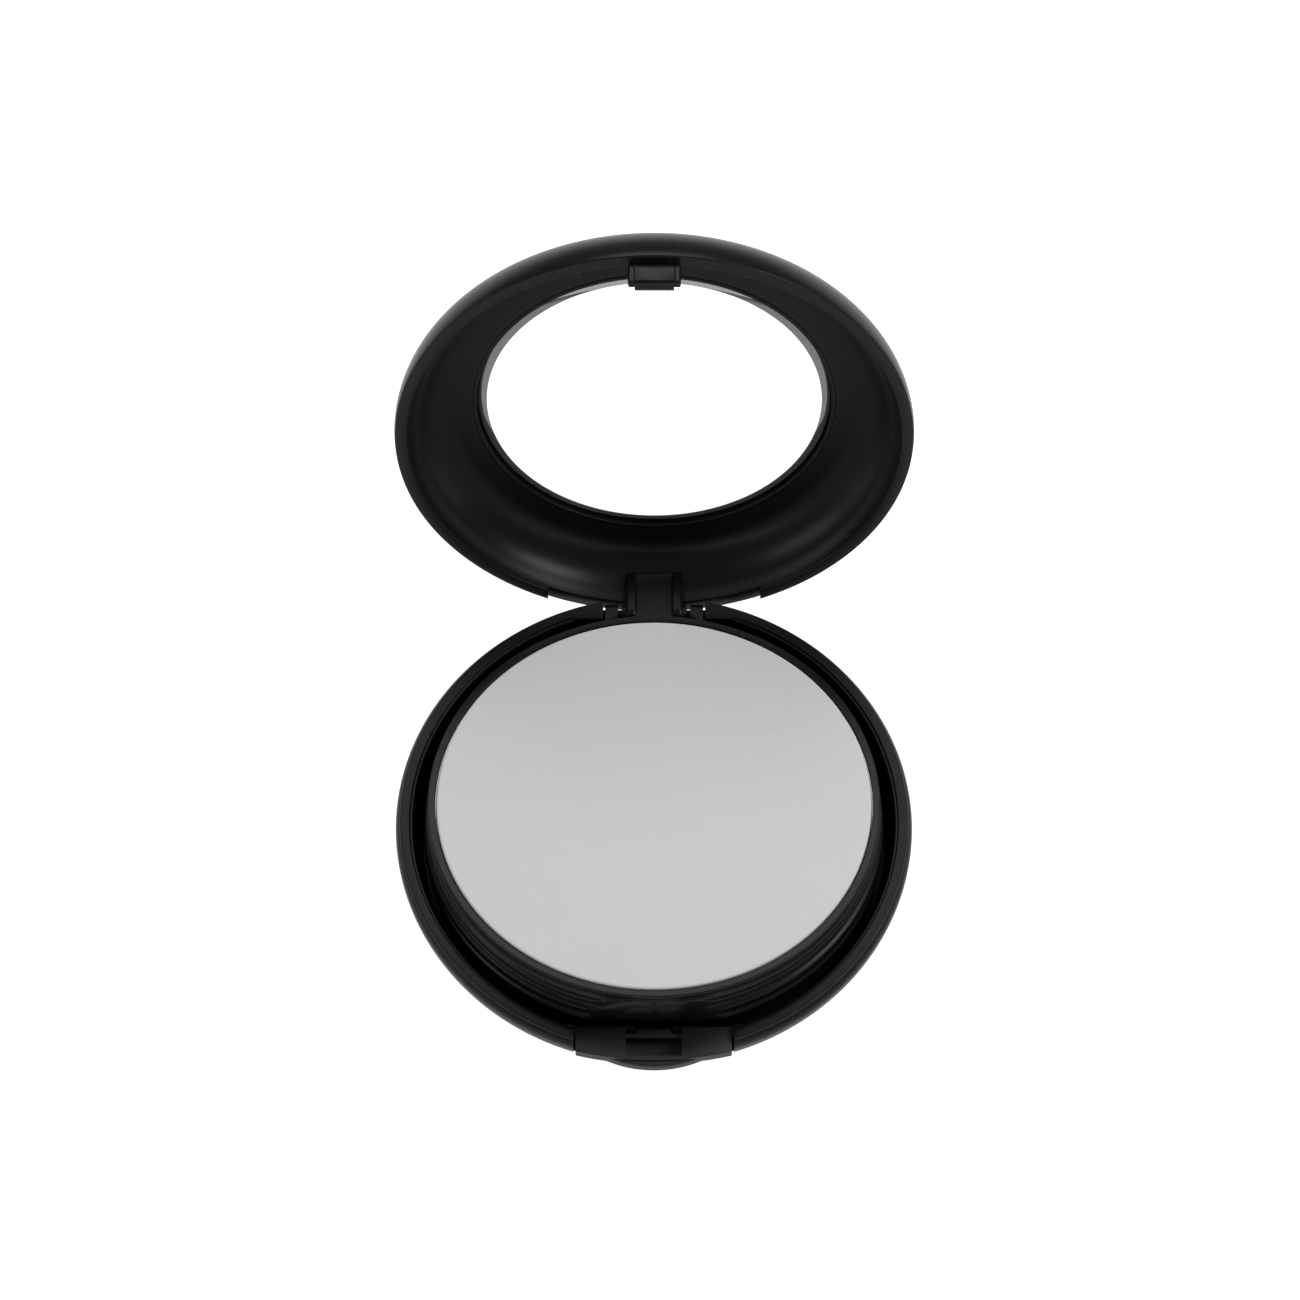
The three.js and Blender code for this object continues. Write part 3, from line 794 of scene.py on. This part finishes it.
def make_pan(p):
    """The pan: floor, rounded corner and thin wall, turned about Z."""
    s = sizes()
    low = -(s.cake_thickness + s.pan_wall)
    high = -p.lip_under - 0.15
    inner = PAN_RADIUS - s.pan_wall
    pan = turned("powder_pan", rounded([
        (0, low), (PAN_RADIUS, low, 0.5), (PAN_RADIUS, high, 0.1), (inner, high, 0.1),
        (inner, low + s.pan_wall, 0.2), (0, low + s.pan_wall)]))
    smooth(pan)
    return pan


def make_cake(p):
    """The cake: height z = -0.06 (r/R)^2 with a rounded edge and a slow press wave of a few
    hundredths of a millimetre, turned about Z."""
    s = sizes()
    low = -s.cake_thickness + 0.05
    r = CAKE_RADIUS
    edge = arc((r - 0.35, -0.42), (0.35, 0.36), 0, 90, 8)
    face_r = np.linspace(r - 0.4, 0, 60)
    face = np.column_stack([face_r, -0.06 * (face_r / r) ** 2])
    side = rounded([(0, low), (r, low, 0.2), (r, -0.5)])
    cake = turned("pressed_cake", np.vstack([side, edge, face]), 192)

    def press(co):
        x, y = co[:, 0] / MM, co[:, 1] / MM
        top = co[:, 2] / MM > -0.3
        wave = 0.02 * np.sin(0.21 * x + 0.6) * np.cos(0.17 * y - 0.4) - 0.02
        co[:, 2] += np.where(top, wave, 0) * MM

    smooth(move_points(cake, press), 50)
    return cake


def make_mirror(p):
    """The glass: a disc with a ground bevel, turned about Z."""
    s = sizes()
    low = s.lid_depth + p.glass_sunk
    high = low + s.mirror_thickness
    glass = turned("mirror_glass", rounded([
        (0, low), (MIRROR_RADIUS - p.mirror_bevel, low, 0.05), (MIRROR_RADIUS - 0.05, low + 0.35, 0.05),
        (MIRROR_RADIUS - 0.05, high, 0.05), (0, high)]))
    smooth(glass, 15)
    return glass


def make_sponge(p):
    """The sponge: a disc with rounded edges whose top is min(free height, plane under the tray),
    with the plane z = under + (axis - y) tan(raised angle)."""
    low = p.wall + p.bond
    high = low + p.sponge_height
    r = p.compartment - p.sponge_margin
    e = p.sponge_edge
    side = np.vstack([arc((r - e, low + e), (e, e), -90, 0, 8),
                      arc((r - e, high - e), (e, e), 0, 90, 8)])
    face_r = np.linspace(r - e, 0, 30)[1:]
    face = np.column_stack([face_r, np.full_like(face_r, high)])
    foam = turned("sponge_puff", np.vstack([[[0, low]], side, face]), 160)
    under = RIM_Z + sizes().cake_proud - p.tray_depth - 2 * p.gap

    def press(co):
        limit = under + (AXIS_Y - co[:, 1] / MM) * tan(radians(sizes().tray_raised))
        co[:, 2] = np.minimum(co[:, 2], limit * MM)

    smooth(move_points(foam, press), 50)
    return foam


# ---------------------------------------------------------------- operators

class COMPACT_OT_base(bpy.types.Operator):
    """Base bowl, its label, pins and glue layers"""
    bl_idname = "compact.base"
    bl_label = "Base"

    def execute(self, context):
        finish_piece(make_base(Plan()), finish("case"), "base", "case_black", "base_shell")
        for node, kind in (("base_label", "paper"), ("hinge_pin_left", "case"),
                           ("hinge_pin_right", "case"), ("pan_adhesive", "glue"),
                           ("mirror_adhesive", "glue")):
            data = frame["nodes"][node].data
            data.materials.clear()
            data.materials.append(finish(kind))
        return {"FINISHED"}


class COMPACT_OT_sponge(bpy.types.Operator):
    """Sponge in the lower compartment"""
    bl_idname = "compact.sponge"
    bl_label = "Sponge"

    def execute(self, context):
        p = Plan()
        puff = finish_piece(make_sponge(p), finish("foam"), "base", "foam", "sponge")
        (p.wall + p.bond) * MM
        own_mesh(puff)
        return {"FINISHED"}


class COMPACT_OT_button(bpy.types.Operator):
    """Push button at the front"""
    bl_idname = "compact.button"
    bl_label = "Button"

    def execute(self, context):
        finish_piece(make_button(Plan()), finish("button"), "button", "case_black", "latch_button")
        return {"FINISHED"}


class COMPACT_OT_tray(bpy.types.Operator):
    """Tray collar, pan and pressed powder"""
    bl_idname = "compact.tray"
    bl_label = "Tray"

    def execute(self, context):
        p = Plan()
        for make, kind, slot, node in (
                (make_tray, "tray", "tray_black", "inner_tray"),
                (make_pan, "tin", "pan_tin", "pan"),
                (make_cake, "powder", "powder", "powder_cake")):
            piece = swing(make(p), sizes().tray_raised, p.tray_lift)
            finish_piece(piece, finish(kind), "tray", slot, node)
        return {"FINISHED"}


class COMPACT_OT_lid(bpy.types.Operator):
    """Lid and mirror"""
    bl_idname = "compact.lid"
    bl_label = "Lid"

    def execute(self, context):
        p = Plan()
        for make, kind, slot, node in (
                (make_lid, "lining", "case_black", "lid_shell"),
                (make_mirror, "mirror", "mirror", "mirror")):
            piece = swing(make(p), LID_OPEN, p.lid_lift)
            finish_piece(piece, finish(kind), "lid", slot, node)
        return {"FINISHED"}


def area_light(name, place, target, size, power):
    """A white soft box at place that faces target, in metres and watts."""
    lamp = bpy.data.lights.new(name, "AREA")
    lamp.shape = "RECTANGLE"
    lamp.size, lamp.size_y = size
    lamp.energy = power
    holder = bpy.data.objects.new(name, lamp)
    holder.location = place
    holder.rotation_euler = (Vector(target) - Vector(place)).to_track_quat("-Z", "Y").to_euler()
    bpy.context.scene.collection.objects.link(holder)


class COMPACT_OT_stage(bpy.types.Operator):
    """Floor, soft lights, world and camera"""
    bl_idname = "compact.stage"
    bl_label = "Stage"

    def execute(self, context):
        scene = context.scene
        floor = block("floor", (-1500, -1500, -5), (1500, 1500, -0.02))
        s = Sheet("studio_floor")
        tone = tuple(colours().floor)
        cloud = s.noise(3.0, 2.0)
        s.set(Base_Color=s.mix(cloud, rgba(tone, 0.99), rgba(tone)), Roughness=0.9,
              Specular_IOR_Level=0.1, Emission_Color=WHITE, Emission_Strength=FLOOR_GLOW)
        floor.data.materials.append(s.material)
        world = bpy.data.worlds.new("studio")
        world.use_nodes = True
        sky = world.node_tree.nodes["Background"]
        sky.inputs["Color"].default_value = WHITE
        sky.inputs["Strength"].default_value = SKY_STRENGTH
        scene.world = world
        for light in LIGHTS:
            area_light(*light)
        scene.view_settings.view_transform = "Standard"
        self.camera(scene)
        return {"FINISHED"}

    def camera(self, scene):
        """The camera stands in front of the rim's centre and high above it, and looks at a point
        a little above that centre."""
        elevation = radians(CAMERA_ELEVATION)
        ahead = Vector((0, cos(elevation), -sin(elevation)))
        up = Vector((0, sin(elevation), cos(elevation)))
        centre = Vector((0, 0, RIM_Z * MM))
        lens = bpy.data.cameras.new("camera")
        lens.lens = CAMERA_LENS
        lens.sensor_width = CAMERA_SENSOR
        lens.clip_start, lens.clip_end = 0.05, 20.0
        holder = bpy.data.objects.new("camera", lens)
        holder.location = centre - ahead * CAMERA_DISTANCE
        aside, above = CAMERA_AIM
        target = centre + up * above + Vector((aside, 0, 0))
        holder.rotation_euler = (target - holder.location).to_track_quat("-Z", "Y").to_euler()
        scene.collection.objects.link(holder)
        scene.camera = holder


class COMPACT_PT_panel(bpy.types.Panel):
    """Lists the pieces of the compact and their sizes"""
    bl_idname = "COMPACT_PT_panel"
    bl_label = "Compact"
    bl_space_type = "VIEW_3D"
    bl_region_type = "UI"
    bl_category = "Compact"

    def draw(self, context):
        for operator in PIECES:
            self.layout.operator(operator.bl_idname)
        for group in (context.scene.compact_sizes, context.scene.compact_colours):
            for key in group.__annotations__:
                self.layout.prop(group, key)


PIECES = (COMPACT_OT_stage, COMPACT_OT_base, COMPACT_OT_sponge, COMPACT_OT_button,
          COMPACT_OT_tray, COMPACT_OT_lid)
CLASSES = (CompactSizes, CompactColours) + PIECES + (COMPACT_PT_panel,)


def register():
    for cls in CLASSES:
        bpy.utils.register_class(cls)
    bpy.types.Scene.compact_sizes = PointerProperty(type=CompactSizes)
    bpy.types.Scene.compact_colours = PointerProperty(type=CompactColours)


def unregister():
    del bpy.types.Scene.compact_colours
    del bpy.types.Scene.compact_sizes
    for cls in reversed(CLASSES):
        bpy.utils.unregister_class(cls)


def corners(bounds):
    return [[float(v) for v in corner] for corner in bounds]


def main():
    register()
    bpy.ops.compact.stage()
    bpy.ops.compact.base()
    bpy.ops.compact.sponge()
    bpy.ops.compact.button()
    bpy.ops.compact.tray()
    bpy.ops.compact.lid()


if __name__ == "__main__":
    main()
